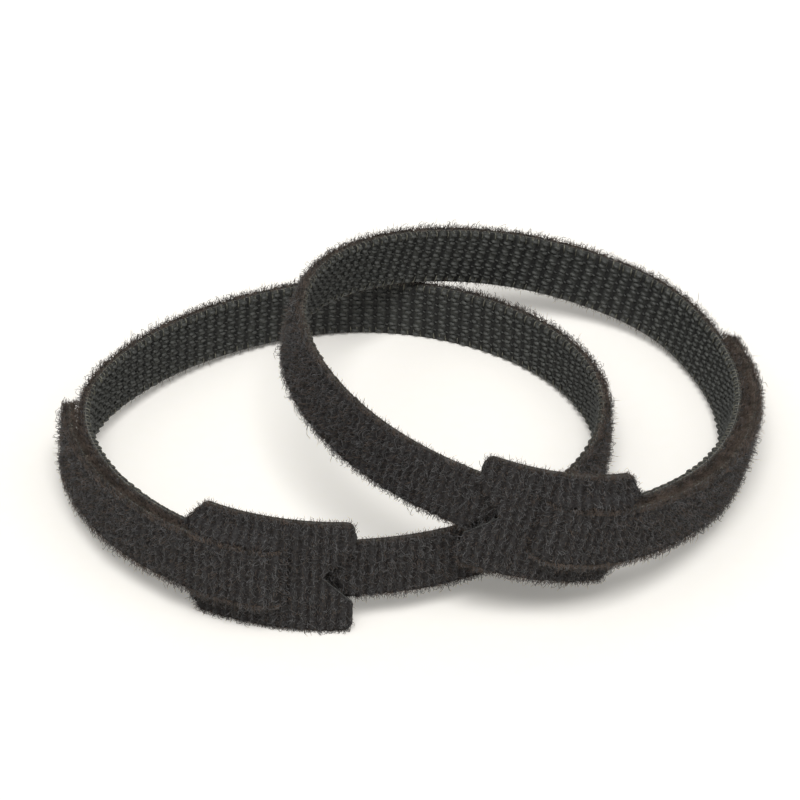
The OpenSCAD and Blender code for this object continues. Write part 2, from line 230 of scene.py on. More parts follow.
def stand_lower(tie):
    """The lower tie is turned over. It stands on its head's lower edge and the far side of its
    band, so its head side is tilted up."""
    middle = loop_middle(tie)
    head = bend(tie, np.arange(0, HEAD_LEN, 0.5), 0, -STACK / 2)[:, :2].mean(0) - middle
    towards = head / np.linalg.norm(head)
    far = reach(tie, middle, -towards, tie["loop_len"], STACK / 2)
    near = ((bend(tie, np.arange(0, HEAD_LEN, 0.5), 0, -STACK / 2)[:, :2] - middle) @ towards).min()
    tilt = math.atan((HEAD_W - STRAP_W) / 2 / (far + near))
    height = far * math.sin(tilt) + STRAP_W / 2 * math.cos(tilt)
    turned = math.radians(LOWER_TURN)
    up_to = turned - math.atan2(towards[1], towards[0])
    tie["turn"] = raised(up_to, tilt) @ rotation(turned, [0, 0, 1]) @ rotation(math.pi, [1, 0, 0])
    tie["middle"] = middle
    tie["at"] = np.array([-MIDDLE[0], -MIDDLE[1], height])
    return height + STRAP_W / 2 * math.cos(tilt)


def stand_upper(tie, lower_top):
    """The upper tie leans from the floor, on its far right side, on to the lower one's edge."""
    middle = loop_middle(tie)
    lean_to, turned = math.radians(LEAN_TO), math.radians(UPPER_TURN)
    lean = math.asin((lower_top + REST_GAP) / LEAN_SPAN)
    towards = np.array([math.cos(lean_to - turned), math.sin(lean_to - turned)])
    band = reach(tie, middle, towards, tie["len"], STACK / 2)
    head = reach(tie, middle, towards, HEAD_LEN, STACK / 2)
    height = max(
        band * math.sin(lean) + STRAP_W / 2 * math.cos(lean),
        head * math.sin(lean) + HEAD_W / 2 * math.cos(lean),
    )
    tie["turn"] = raised(lean_to + math.pi, lean) @ rotation(turned, [0, 0, 1])
    tie["middle"] = middle
    tie["at"] = np.array([*(UPPER_PLACE - MIDDLE), height])


def tie_point(tie, s, v, n):
    """Place of flat points on the standing tie, in mm."""
    local = bend(tie, s, v, n)
    local[..., :2] -= tie["middle"]
    return local @ tie["turn"].T + tie["at"]


def over_floor(points):
    """Points with the heights below 0.1 mm pressed together above 0, by 0.1 exp(z / 0.1 - 1)."""
    z = points[:, 2]
    points[:, 2] = np.where(z < 0.1, 0.1 * np.exp(np.minimum(z / 0.1, 1) - 1), z)
    return points


# --- The flat cut --------------------------------------------------------------------------
def outline(tie, n, side_gap=SLOT_SIDE_GAP, edge_gap=SLOT_EDGE_GAP):
    """Returns the signed distance, negative inside, from the edge that the tape is cut to, at a
    level n of the laminate: rounded prongs with a notch, shoulders, slot and rounded tail. The
    gaps are between the slot and the strap in it."""
    mouth, notch_mid = STRAP_W / 2, NOTCH_DEPTH - NOTCH_R
    span = math.sqrt(notch_mid**2 + mouth**2 - NOTCH_R**2)
    slope = math.atan2(mouth, notch_mid) - math.asin(NOTCH_R / math.hypot(mouth, notch_mid))
    through_s = np.linspace(tie["slot_start"] - 2, tie["outer_start"] + 2, 60)
    through = bend(tie, through_s, 0, 0)[:, :2]
    shoulder_end = HEAD_LEN - NECK
    shoulder_slope = math.atan2((HEAD_W - STRAP_W) / 2, SHOULDER_LEN)

    def distance(s, v):
        """The largest of the distances from the sides, the ends, the notch and the slot."""
        side = np.abs(v)
        width = np.interp(s, [shoulder_end - SHOULDER_LEN, shoulder_end], [HEAD_W / 2, STRAP_W / 2])
        steep = (s > shoulder_end - SHOULDER_LEN) & (s < shoulder_end)
        d = (side - width) * np.where(steep, math.cos(shoulder_slope), 1)
        for end, r in ((-s, PRONG_CORNER_R), (s - tie["len"], TAIL_CORNER_R)):
            corner = np.hypot(np.maximum(d + r, 0), np.maximum(end + r, 0)) - r
            d = np.maximum(np.maximum(d, end), corner)
        along = s * math.cos(slope) - (side - mouth) * math.sin(slope)
        off = s * math.sin(slope) + (side - mouth) * math.cos(slope)
        notch = np.where(along > span, np.hypot(s - notch_mid, side) - NOTCH_R, off)
        d = np.maximum(d, -notch)
        in_head = s < HEAD_LEN
        gap = np.full(np.shape(s), 9.0)
        if np.any(in_head):
            head = bend(tie, s[in_head], 0, n)[:, :2]
            near = np.sqrt(((head[:, None] - through[None]) ** 2).sum(-1)).min(1)
            gap[in_head] = near - STACK / 2 - edge_gap
        slot = np.maximum(gap, side - STRAP_W / 2 - side_gap)
        return np.maximum(d, -slot)

    return distance


def cut_cloth(tie, distance, s_from, s_to, cell):
    """Flat cloth on a square grid. Cells whose middle is inside the outline stay, and points on
    its border slide on to it, except where one length of strap goes on into the next. Returns
    points, cells and distances."""
    half = HEAD_W / 2 if s_from < HEAD_LEN else STRAP_W / 2
    count_s = max(2, round((s_to - s_from) / cell))
    count_v = round(half / cell) * 2
    s, v = np.meshgrid(
        np.linspace(s_from, s_to, count_s + 1),
        np.linspace(-half, half, count_v + 1),
        indexing="ij",
    )
    mid = [(x[1:, 1:] + x[:-1, :-1]) / 2 for x in (s, v)]
    keep = distance(mid[0].ravel(), mid[1].ravel()).reshape(mid[0].shape) < 0
    i, j = np.nonzero(keep)
    row = count_v + 1
    cells = np.stack([i * row + j, (i + 1) * row + j, (i + 1) * row + j + 1, i * row + j + 1], 1)
    used, cells = np.unique(cells, return_inverse=True)
    cells = cells.reshape(-1, 4)
    s, v = s.ravel()[used], v.ravel()[used]
    joined = (s <= s_from) & (s_from > 0) | (s >= s_to) & (s_to < tie["len"])
    border = np.unique(border_edges(cells))
    border = border[~joined[border] | (distance(s[border], v[border]) > -cell)]
    step = 0.02
    for _ in range(3):
        bs, bv = s[border], v[border]
        d = np.clip(distance(bs, bv), -cell, cell)
        ds = (distance(bs + step, bv) - distance(bs - step, bv)) / 2 / step
        dv = (distance(bs, bv + step) - distance(bs, bv - step)) / 2 / step
        slope = np.maximum(ds**2 + dv**2, 0.5)
        s[border] = np.where(joined[border], bs, bs - d * ds / slope)
        v[border] = bv - d * dv / slope
    return s, v, cells, distance(s, v)


def border_edges(cells):
    """Edges, in order round their cell, that only one cell has."""
    edges = np.concatenate([np.stack([cells[:, k], cells[:, (k + 1) % 4]], 1) for k in range(4)])
    key = np.sort(edges, 1)
    _, first, count = np.unique(key, axis=0, return_index=True, return_counts=True)
    return edges[first[count == 1]]


def waves(s, v, size, seed, count=24):
    """Smooth unevenness, about -1 to 1: a sum of sine waves in random directions, whose lengths
    lie round size."""
    rng = np.random.default_rng(seed)
    angle, phase = rng.uniform(0, 2 * math.pi, (2, count))
    k = 2 * math.pi / size * rng.uniform(0.6, 1.5, count)
    total = np.zeros(np.shape(s))
    for a, p, w in zip(angle, phase, k):
        total += np.sin(w * (s * math.cos(a) + v * math.sin(a)) + p)
    return total / math.sqrt(count / 2) / 1.6


# --- Meshes ----------------------------------------------------------------------------------
def make_piece(name, points, faces, material, flat=None, smooth=True):
    """A mesh object at the origin from points in mm and faces, with the flat coordinates in
    centimetres as its UV map where they are given."""
    mesh = bpy.data.meshes.new(name)
    size = faces.shape[1]
    mesh.vertices.add(len(points))
    mesh.vertices.foreach_set("co", (points * MM).astype(np.float32).ravel())
    mesh.loops.add(faces.size)
    mesh.loops.foreach_set("vertex_index", faces.astype(np.int32).ravel())
    mesh.polygons.add(len(faces))
    mesh.polygons.foreach_set("loop_start", np.arange(0, faces.size, size, dtype=np.int32))
    mesh.update(calc_edges=True)
    mesh.validate()
    mesh.polygons.foreach_set("use_smooth", np.full(len(mesh.polygons), smooth))
    if flat is not None:
        uv = mesh.uv_layers.new(name="flat")
        uv.data.foreach_set("uv", (flat[faces.ravel()] / UV_UNIT).astype(np.float32).ravel())
    mesh.materials.append(material)
    piece = bpy.data.objects.new(name, mesh)
    bpy.context.scene.collection.objects.link(piece)
    return piece


def slab(name, tie, cloth, inner, outer, material):
    """A closed ply: one grid for each face and a wall along the border. inner and outer are the
    levels of the two faces, at each point of the cloth."""
    s, v, cells, _ = cloth
    count = len(s)
    points = np.concatenate([tie_point(tie, s, v, outer), tie_point(tie, s, v, inner)])
    points = over_floor(points)
    edges = border_edges(cells)
    walls = np.stack([edges[:, 1], edges[:, 0], edges[:, 0] + count, edges[:, 1] + count], 1)
    faces = np.concatenate([cells, cells[:, ::-1] + count, walls])
    flat = np.stack([np.tile(s, 2), np.tile(v, 2)], 1)
    return make_piece(name, points, faces, material, flat)


def threads(name, tie, s, v, n, radius, sides, material):
    """Closed threads that end in a point. s, v and n are arrays of (thread, ring), and radius is
    one number for each ring. A ring's corners are at the cosine of their angle along the normal
    of the upright plane through the thread's ends, and at the sine along the thread's direction
    crossed with that normal."""
    count, rings = s.shape
    line = np.stack([s, v, n], -1)
    along = np.gradient(line, axis=1)
    along /= np.maximum(np.linalg.norm(along, axis=2, keepdims=True), 1e-9)
    chord = line[:, -1:] - line[:, :1] + np.array([1e-4, 0, 0])
    side = np.cross(chord, [0.0, 0.0, 1.0])
    side = side - (side * along).sum(-1, keepdims=True) * along
    side /= np.maximum(np.linalg.norm(side, axis=2, keepdims=True), 1e-9)
    over = np.cross(along, side)
    a = np.arange(sides) * 2 * math.pi / sides
    wide = np.broadcast_to(radius, (count, rings))[:, :-1, None, None]
    ring = np.cos(a)[:, None] * side[:, :-1, None] + np.sin(a)[:, None] * over[:, :-1, None]
    body = (line[:, :-1, None] + wide * ring).reshape(count, -1, 3)
    flat = np.concatenate([body, line[:, -1:]], 1).reshape(-1, 3)
    tip = (rings - 1) * sides
    corner = np.arange(sides)
    k, j = (x.ravel() for x in np.meshgrid(np.arange(rings - 2) * sides, corner, indexing="ij"))
    j2 = (j + 1) % sides
    last = tip - sides + corner
    one = np.concatenate([
        np.stack([k + j, k + sides + j2, k + sides + j], 1),
        np.stack([k + j, k + j2, k + sides + j2], 1),
        np.stack([last, np.roll(last, -1), np.full(sides, tip)], 1),
        np.stack([np.zeros(sides - 2, int), np.arange(2, sides), np.arange(1, sides - 1)], 1),
    ])
    faces = (one[None] + np.arange(count)[:, None, None] * (tip + 1)).reshape(-1, 3)
    points = over_floor(tie_point(tie, flat[:, 0], flat[:, 1], flat[:, 2]))
    return make_piece(name, points, faces, material, flat[:, :2])


# --- Materials -----------------------------------------------------------------------------
RIB_PITCH = 1.6  # cross ribs of the pile
HOOK_ALONG, HOOK_ACROSS = 2.2, 1.6  # spacing of the groups of hooks
KNIT_PITCH = 0.35  # ribs of the cloth that the pile stands on
WAVE_SCALE = 3.183  # bands of a wave texture in one unit, at scale 1
UV_UNIT = 10  # the flat UV map is in centimetres


def linear(hex_colour):
    """sRGB hex colour as linear RGBA."""
    c = [int(hex_colour[i : i + 2], 16) / 255 for i in (1, 3, 5)]
    return [x / 12.92 if x <= 0.04045 else ((x + 0.055) / 1.055) ** 2.4 for x in c] + [1.0]


def add(material, kind, links=(), **settings):
    """Adds a node. settings are its properties, or its inputs by name with _ for a space, and
    links are pairs of an input's name or number and the output that goes there."""
    node = material.node_tree.nodes.new(kind)
    for key, value in settings.items():
        if hasattr(node, key):
            setattr(node, key, value)
        else:
            node.inputs[key.replace("_", " ")].default_value = value
    for socket, output in links:
        material.node_tree.links.new(output, node.inputs[socket])
    return node


def blank_material(name):
    """A node material with no nodes in it yet."""
    material = bpy.data.materials.new(name)
    material.use_nodes = True
    material.node_tree.nodes.clear()
    return material


def ramp(material, factor, low, high, dark, light):
    """Colour ramp between two colours."""
    node = add(material, "ShaderNodeValToRGB", [("Fac", factor)])
    node.color_ramp.elements[0].position = low
    node.color_ramp.elements[0].color = linear(dark)
    node.color_ramp.elements[1].position = high
    node.color_ramp.elements[1].color = linear(light)
    return node.outputs["Color"]


def noise(material, size, detail=2.0):
    """Noise in the object's own space, with features of about size mm."""
    place = add(material, "ShaderNodeTexCoord").outputs["Object"]
    links = [("Vector", place)]
    node = add(material, "ShaderNodeTexNoise", links, Scale=1 / (size * MM), Detail=detail)
    return node.outputs["Fac"]


def stripes(material, direction, pitch, phase):
    """Soft stripes in the flat strap, dark at 0 and each multiple of the pitch in mm where the
    phase is 0, and pale there where it is pi."""
    flat = add(material, "ShaderNodeUVMap", uv_map="flat").outputs["UV"]
    wave = add(
        material, "ShaderNodeTexWave", [("Vector", flat)], Scale=UV_UNIT / pitch / WAVE_SCALE,
        Distortion=0.4, Phase_Offset=phase, bands_direction=direction,
    )
    return wave.outputs["Fac"]


def finish_material(material, colour, height=None, depth=0.0, **settings):
    """Principled shader, with a bump of depth mm where a height is given."""
    links = [("Base Color", colour)]
    if height is not None:
        bump = add(material, "ShaderNodeBump", [("Height", height)], Distance=depth * MM)
        links.append(("Normal", bump.outputs[0]))
    shader = add(material, "ShaderNodeBsdfPrincipled", links, **settings)
    add(material, "ShaderNodeOutputMaterial", [("Surface", shader.outputs[0])])
    return material


def ribbed(material, tufts):
    """A pattern with a fifth of the pile's cross ribs in it: pale on the ribs and dark in the
    grooves between them, which is painted shade.
    """
    across = stripes(material, "X", RIB_PITCH, math.pi)
    return add(material, "ShaderNodeMix", [("A", tufts), ("B", across)], Factor=0.2).outputs[0]


def napped_ground():
    """Brushed nylon under the pile's curls: a dull tangle, with painted shade that makes it dark
    between the fibres and in the grooves of the ribs."""
    m = blank_material("napped_nylon_ground")
    tangle = noise(m, 0.35, 4.0)
    # painted shade: darker where the tangle's bump is low and in the grooves between the ribs
    colour = ramp(m, ribbed(m, tangle), 0.32, 0.72, "#242120", "#454444")
    return finish_material(m, colour, tangle, 0.5, Roughness=0.95, Specular_IOR_Level=0.15)


def pile_fibre():
    """Crimped nylon filament of the pile, dyed black: dull, with a soft sheen."""
    m = blank_material("black_nylon_pile_fibre")
    # painted shade: a fifth of the fibre colour follows the cross ribs, paler on the ribs and
    # darker in the grooves
    colour = ramp(m, ribbed(m, noise(m, 1.6)), 0.34, 0.68, "#353434", "#5c5b5b")
    return finish_material(
        m, colour, Roughness=0.75, Specular_IOR_Level=0.3, Sheen_Weight=0.2, Sheen_Roughness=0.5
    )


def loose_hair():
    """The same filament where it stands alone: light goes through it, so it looks brown."""
    m = blank_material("loose_nylon_fibre")
    colour = ramp(m, noise(m, 1.8), 0.35, 0.68, "#443c35", "#72645a")
    return finish_material(m, colour, Roughness=0.7, Specular_IOR_Level=0.3)


def woven_ground():
    """Tightly woven nylon ground of the hooks: a satin pad under each group of hooks, painted
    paler, and painted shade that darkens the gaps between the pads."""
    m = blank_material("woven_nylon_ground")
    pads = stripes(m, "X", HOOK_ALONG, math.pi)
    # painted shade: pale on the raised pads and dark in the gaps between them
    colour = ramp(m, pads, 0.15, 0.75, "#232322", "#41423f")
    return finish_material(m, colour, noise(m, 0.3), 0.2, Roughness=0.7, Specular_IOR_Level=0.3)


def hook_filament():
    """Nylon monofilament of the hooks, heat set: smooth and satin, grey-green black."""
    m = blank_material("black_nylon_hook_filament")
    colour = ramp(m, noise(m, 1.6, 1.0), 0.35, 0.7, "#3b3c3a", "#4f504d")
    return finish_material(m, colour, Roughness=0.55, Specular_IOR_Level=0.4)


def laminate_film():
    """Polyurethane bonding film: grey, satin, with specks of fibre in it."""
    m = blank_material("polyurethane_film")
    colour = ramp(m, noise(m, 0.4, 1.0), 0.4, 0.7, "#5a5a58", "#8a8a86")
    return finish_material(m, colour, Roughness=0.5)


def knit_ground():
    """Warp-knitted nylon that the pile stands on: dull ribs along the strap, with painted shade
    that darkens the grooves between them.
    """
    m = blank_material("knitted_nylon_ground")
    wales = stripes(m, "Y", KNIT_PITCH, 0)
    # painted shade: the colour is dark where the bump of the wales is low
    colour = ramp(m, wales, 0.1, 0.9, "#242423", "#454442")
    return finish_material(m, colour, wales, 0.2, Roughness=0.8)


def selvedge_thread():
    """Weft turns along the edges: nylon yarn, a little glossier than the cloth and paler, partly
    its own tone and partly a painted highlight for the glints on the rim.
    """
    m = blank_material("selvedge_nylon_yarn")
    # partly painted highlight: the pale end of the ramp stands in for glints along the rim
    colour = ramp(m, noise(m, 0.7, 1.0), 0.35, 0.7, "#34342e", "#716f62")
    return finish_material(m, colour, Roughness=0.4, Specular_IOR_Level=0.5)


MATERIALS = {
    "pile": napped_ground(),
    "fibre": pile_fibre(),
    "hair": loose_hair(),
    "loop_cloth": knit_ground(),
    "film": laminate_film(),
    "hook_cloth": woven_ground(),
    "hooks": hook_filament(),
    "selvedge": selvedge_thread(),
}

# --- Plies and threads of one length of strap ----------------------------------------------
# The threads are drawn thicker and fewer than real filament, so that they show.
FIBRE_R = 0.042
HAIR_R = 0.03
SELVEDGE_R = 0.13
HOOK_R, SHORT_HOOK_R = 0.3, 0.13
CURL_TAPER = np.array([1, 1, 1, 0.8, 0])
CURLS_PER_MM2 = 4.6
HAIRS_PER_MM2 = 3.8
FUZZ_PITCH = 0.021
EDGE_CURL_PITCH = 0.32
SELVEDGE_PITCH = 1.15
FINE_CELL, COARSE_CELL = 0.42, 0.9  # grid of the two plies that show most, and of the others
PIECE_LEN = 75  # curls, hairs and fuzz are in pieces of about this length


def under_layer(tie, s, v):
    """True where another layer lies on the pile: under the head, or under the tail."""
    emerges = (tie["slot_start"] + tie["outer_start"]) / 2
    under_head = (s > tie["loop_len"] + NOTCH_DEPTH) & (s < emerges)
    return under_head | (s > SLOT_AT) & (s < tie["covered_to"]) & (np.abs(v) < STRAP_W / 2)


def brushed_up(s, v):
    """How far the nap of the head is brushed up against the strap that lies on it, in mm: half a
    cosine wave, which falls to nothing 3.4 mm away from the strap."""
    beside = np.clip((np.abs(v) - STRAP_W / 2) / 3.4, 0, 1)
    ends = np.clip((s - SLOT_AT + 0.4) / 2.4, 0, 1) * np.clip((HEAD_LEN - 2 - s) / 3, 0, 1)
    return np.where(np.abs(v) > STRAP_W / 2, 1.1 * (1 + np.cos(math.pi * beside)), 0) * ends


def ribs(s, v, seed):
    """Cross ribs of the pile, -1 to 1, which drift a little."""
    return np.cos(2 * math.pi * (s / RIB_PITCH + 0.25 * waves(s, v, 5.0, seed)))


def growth(s, v, seed):
    """How thickly the pile grows, about -1.2 to 1.2: most on the ribs and in tufts."""
    return 0.8 * ribs(s, v, seed) + 0.4 * waves(s, v, 1.8, seed + 1)


def in_notch(tie, s, v):
    """Nap that swells up into the notch from the strap under it, in mm."""
    into = s - tie["loop_len"]
    inside = np.clip((NOTCH_DEPTH + 0.3 - into - np.abs(v)) / 1.5, 0, 1)
    return 0.9 * inside * np.clip(into / 2 + 1, 0, 1)


def nap_height(tie, s, v, d, seed):
    """Height of the pile's ground over its ply: a quarter of an ellipse at the border, with
    cross ribs and tufts added."""
    depth = np.clip(-d / 0.8, 0, 1)
    rounded = np.sqrt(1 - (1 - depth) ** 2)
    height = 0.34 + 0.3 * rounded + 0.13 * ribs(s, v, seed) * rounded
    height += 0.15 * waves(s, v, 1.8, seed + 1)
    return np.maximum(height, 0.12) + brushed_up(s, v) + in_notch(tie, s, v)


def hook_cloth_levels(cloth):
    """Faces of the hook cloth. On the face with the hooks, the warp floats over the weft in a
    pad under each group of hooks: a cosine along the strap times a weaker one across it."""
    s, v, _, d = cloth
    along = 0.5 + 0.5 * np.cos(2 * math.pi * s / HOOK_ALONG)
    across = 0.75 + 0.25 * np.cos(4 * math.pi * v / HOOK_ACROSS)
    depth = np.clip(-d / 0.5, 0, 1)
    return HOOK_CLOTH - 0.2 * along * across * depth, np.full(len(s), HOOK_CLOTH + HOOK_CLOTH_T)


def scatter(rng, distance, s_from, s_to, per_mm2, margin):
    """Random flat points, at least margin inside the outline."""
    s, v = [], []
    for a, b, half in (
        (s_from, min(s_to, HEAD_LEN), HEAD_W / 2),
        (max(s_from, HEAD_LEN), s_to, STRAP_W / 2),
    ):
        count = int(max(b - a, 0) * 2 * half * per_mm2)
        s.append(rng.uniform(a, max(a, b), count))
        v.append(rng.uniform(-half, half, count))
    s, v = np.concatenate(s), np.concatenate(v)
    keep = distance(s, v) < -margin
    return s[keep], v[keep]


def outward(distance, s, v, d):
    """Direction to the nearest border."""
    step = 0.1
    return (distance(s + step, v) - d) / step, (distance(s, v + step) - d) / step


def pile_curls(name, tie, distance, s_from, s_to, seed, ground_seed):
    """Loops of the pile. Each rises and curls over: it goes along by 1 minus the cosine of its
    turn and up by the sine to the power 0.7, with a sine's sway to the side. More go across the
    strap than along it, and near the border they lean out. Few grow in the grooves between the
    ribs, and another layer presses them flat."""
    rng = np.random.default_rng(seed)
    s, v = scatter(rng, distance, s_from, s_to, CURLS_PER_MM2, 0.1)
    grown = growth(s, v, ground_seed)
    pressed = under_layer(tie, s, v)
    keep = rng.uniform(0, 1, len(s)) < np.where(pressed, 0.3, 0.58 + 0.36 * grown)
    s, v, grown, pressed = s[keep], v[keep], grown[keep], pressed[keep]
    count = len(s)
    d = distance(s, v)
    out_s, out_v = outward(distance, s, v, d)
    near = np.clip(1 + d / 1.2, 0, 1)
    angle = rng.uniform(0, 2 * math.pi, count)
    combed = rng.uniform(0, 1, count) < 0.5
    across_strap = math.pi / 2 * rng.choice([-1, 1], count) + rng.normal(0, 0.35, count)
    angle = np.where(combed, across_strap, angle)
    u = np.linspace(0, 1, 5)[None]
    turned = rng.uniform(0.7, 1.45, count)[:, None] * math.pi
    width = rng.gamma(5, 0.09, count)[:, None]
    height = rng.gamma(6, 0.1, count) * (1 + 0.25 * grown) * np.where(pressed, 0.25, 1)
    sway = rng.normal(0, 0.2, count)[:, None]
    phase = rng.uniform(0, 2 * math.pi, count)[:, None]
    along = width * (1 - np.cos(turned * u))
    across = sway * (np.sin(2 * math.pi * u + phase) - np.sin(phase))
    lean = (near * rng.uniform(0.2, 1.1, count))[:, None]
    cos, sin = np.cos(angle)[:, None], np.sin(angle)[:, None]
    rise = np.sin(np.minimum(turned * u, math.pi * 0.93)) ** 0.7
    root = PILE + nap_height(tie, s, v, d, ground_seed) - 0.2
    fs = s[:, None] + along * cos - across * sin + lean * u * out_s[:, None]
    fv = v[:, None] + along * sin + across * cos + lean * u * out_v[:, None]
    fn = root[:, None] + (height * (1 - 0.3 * near))[:, None] * rise - 0.3 * lean * u**2
    return threads(name, tie, fs, fv, fn, FIBRE_R * CURL_TAPER, 3, MATERIALS["fibre"])


def pile_hairs(name, tie, distance, s_from, s_to, seed, ground_seed):
    """Short loose ends that stand up out of the pile, bent halfway."""
    rng = np.random.default_rng(seed)
    s, v = scatter(rng, distance, s_from, s_to, HAIRS_PER_MM2, 0.02)
    grown = growth(s, v, ground_seed)
    chance = np.where(under_layer(tie, s, v), 0.25, 0.85 + 0.3 * grown)
    keep = rng.uniform(0, 1, len(s)) < chance
    s, v = s[keep], v[keep]
    count = len(s)
    d = distance(s, v)
    out_s, out_v = outward(distance, s, v, d)
    near = np.clip(1 + d / 1.0, 0, 1) ** 2
    pressed = under_layer(tie, s, v)
    angle = rng.uniform(0, 2 * math.pi, (2, count))
    reach_to = rng.uniform(0.05, 0.4, (2, count))
    height = rng.gamma(5, 0.18, count) * np.where(pressed, 0.25, 1)
    root = PILE + nap_height(tie, s, v, d, ground_seed) - 0.15
    lean = near * rng.uniform(0.2, 0.9, count)
    step_s = reach_to * np.cos(angle) + lean / 2 * out_s
    step_v = reach_to * np.sin(angle) + lean / 2 * out_v
    fs = s[:, None] + np.stack([0 * s, step_s[0], step_s.sum(0)], 1)
    fv = v[:, None] + np.stack([0 * s, step_v[0], step_v.sum(0)], 1)
    up = height * (1 - 0.6 * near)
    fn = root[:, None] + np.stack([0 * s, 0.6 * up, up], 1)
    return threads(name, tie, fs, fv, fn, HAIR_R * np.array([1.1, 1, 0]), 3, MATERIALS["hair"])


def edge_walk(distance, s_from, s_to, pitch):
    """Flat points along both long edges, at equal steps, and the side that each is on. Each
    slides across the strap until it is on the border."""
    s = np.arange(s_from + pitch / 2, s_to, pitch)
    sign = np.repeat([1.0, -1.0], len(s))
    s = np.tile(s, 2)
    v = sign * np.where(s < HEAD_LEN, HEAD_W / 2, STRAP_W / 2)
    for _ in range(12):
        v = v - sign * np.clip(distance(s, v), -0.5, 0.5) * 0.9
    return s, v, sign


def edge_fuzz(name, tie, distance, s_from, s_to, seed):
    """Loose ends that stand out from the border of the pile. Where another layer lies on the
    pile, and on that layer, there are more of them, which close the gap."""
    rng = np.random.default_rng(seed)
    s, v, sign = edge_walk(distance, s_from, s_to, FUZZ_PITCH)
    filled = under_layer(tie, s, v * 0.9)
    doubled = filled | (s > tie["outer_start"])
    keep = rng.uniform(0, 1, len(s)) < np.where(doubled, 0.9, 0.55)
    s, v, sign, filled, doubled = s[keep], v[keep], sign[keep], filled[keep], doubled[keep]
    count = len(s)
    out = rng.gamma(3.0, 0.19, count)
    along = rng.normal(0, 0.28, (2, count))
    low = np.where(filled, LOOP_CLOTH, np.where(doubled, HOOK_CLOTH - 0.3, FILM - 0.2))
    level = low + rng.uniform(0, 1, count) * np.where(doubled, 2.2, 1.5)
    rise = rng.normal(0.05, 0.18, (2, count)) + np.where(filled, rng.uniform(0, 0.45, count), 0)
    fs = s[:, None] + np.stack([0 * s, along[0], along.sum(0)], 1)
    fv = v[:, None] + sign[:, None] * np.stack([-0.25 + 0 * out, 0.55 * out, out], 1)
    fn = level[:, None] + np.stack([0 * s, rise[0], rise.sum(0)], 1)
    return threads(name, tie, fs, fv, fn, HAIR_R * np.array([1.2, 1, 0]), 3, MATERIALS["hair"])


def edge_curls(name, tie, distance, s_from, s_to, seed):
    """Curls that come over the border of the pile: out by the sine of their turn, and along by 1
    minus its cosine."""
    rng = np.random.default_rng(seed)
    s, v, sign = edge_walk(distance, s_from, s_to, EDGE_CURL_PITCH)
    count = len(s)
    s = s + rng.uniform(-0.2, 0.2, count)
    u = np.linspace(0, 1, 5)[None]
    turned = rng.uniform(0.6, 1.3, count)[:, None] * math.pi
    out = rng.gamma(4, 0.12, count)[:, None]
    width = rng.normal(0, 0.6, count)[:, None]
    level = LOOP_CLOTH + 0.2 + rng.uniform(0, 1.3, count)[:, None]
    fs = s[:, None] + width * (1 - np.cos(turned * u)) / 2
    fv = v[:, None] + sign[:, None] * (out * np.sin(turned * u) - 0.15)
    fn = level + rng.normal(0.1, 0.4, count)[:, None] * u
    return threads(name, tie, fs, fv, fn, FIBRE_R * CURL_TAPER, 3, MATERIALS["fibre"])


def hook_groups(name, tie, distance, s_from, s_to, seed):
    """Hooks in columns across the strap: two in each group, set off along the strap by turns,
    and a short one in the gap between two columns. A hook goes along by the cosine of its turn
    and rises by the sine to the power 0.6, so it bends over and points back to the cloth."""
    rng = np.random.default_rng(seed)
    rows = math.ceil(HEAD_W / 2 / HOOK_ACROSS)
    i, j = np.meshgrid(
        np.arange(math.ceil(s_from / HOOK_ALONG), math.floor(s_to / HOOK_ALONG) + 1),
        np.arange(-rows, rows + 1),
        indexing="ij",
    )
    parts = []
    for off_s, off_v, half, height in (
        (-0.2, -0.31, 0.5, HOOK_H - 0.28),
        (0.2, 0.31, 0.5, HOOK_H - 0.28),
        (1.1, -0.1, 0.22, HOOK_H - 0.34),
    ):
        s = i.ravel() * HOOK_ALONG + off_s
        v = j.ravel() * HOOK_ACROSS + off_v
        keep = (distance(s, v) < -0.3) & (s > s_from + 0.3) & (s < s_to - 0.3)
        parts.append([s[keep], v[keep], np.full(keep.sum(), half), np.full(keep.sum(), height)])
    s, v, half, height = (np.concatenate(x) for x in zip(*parts))
    count = len(s)
    s = s + rng.normal(0, 0.06, count)
    v = v + rng.normal(0, 0.05, count)
    way = rng.choice([-1.0, 1.0], count)[:, None]
    u = np.linspace(0, 1, 6)[None]
    angle = u * math.pi * 0.95
    fs = s[:, None] - way * half[:, None] * np.cos(angle)
    fv = v[:, None] + 0.16 * (u - 0.5) * way
    fn = HOOK_CLOTH + 0.02 - (height * rng.normal(1, 0.08, count))[:, None] * np.sin(angle) ** 0.6
    thick = np.where(half > 0.4, HOOK_R, SHORT_HOOK_R)[:, None]
    radius = thick * np.array([0.85, 1.05, 1.1, 1.1, 0.9, 0])
    return threads(name, tie, fs, fv, fn, radius, 4, MATERIALS["hooks"])


def selvedge_turns(name, tie, distance, s_from, s_to, seed):
    """Weft threads at the two long edges. Each runs out over the hook cloth and turns round its
    edge on half an ellipse, so the rim is scalloped."""
    rng = np.random.default_rng(seed)
    s, v, sign = edge_walk(distance, s_from, s_to, SELVEDGE_PITCH)
    count = len(s)
    face = HOOK_CLOTH - 0.1
    back = LOOP_CLOTH + LOOP_CLOTH_T + 0.1
    half = (back - face) / 2
    turned = np.linspace(-0.5, 0.5, 6) * math.pi
    out = np.concatenate([[-1.2, -0.7], 0.26 * np.cos(turned) - 0.2])
    level = np.concatenate([[face, face - 0.05], face + half + half * np.sin(turned)])
    fs = s[:, None] + rng.normal(0, 0.1, count)[:, None] + np.linspace(0, 0.35, 8)[None]
    fv = v[:, None] + sign[:, None] * out[None]
    fn = level[None] + 0 * fs
    radius = SELVEDGE_R * np.array([0.6, 1, 1, 1, 1, 1, 0.9, 0])
    return threads(name, tie, fs, fv, fn, radius, 4, MATERIALS["selvedge"])


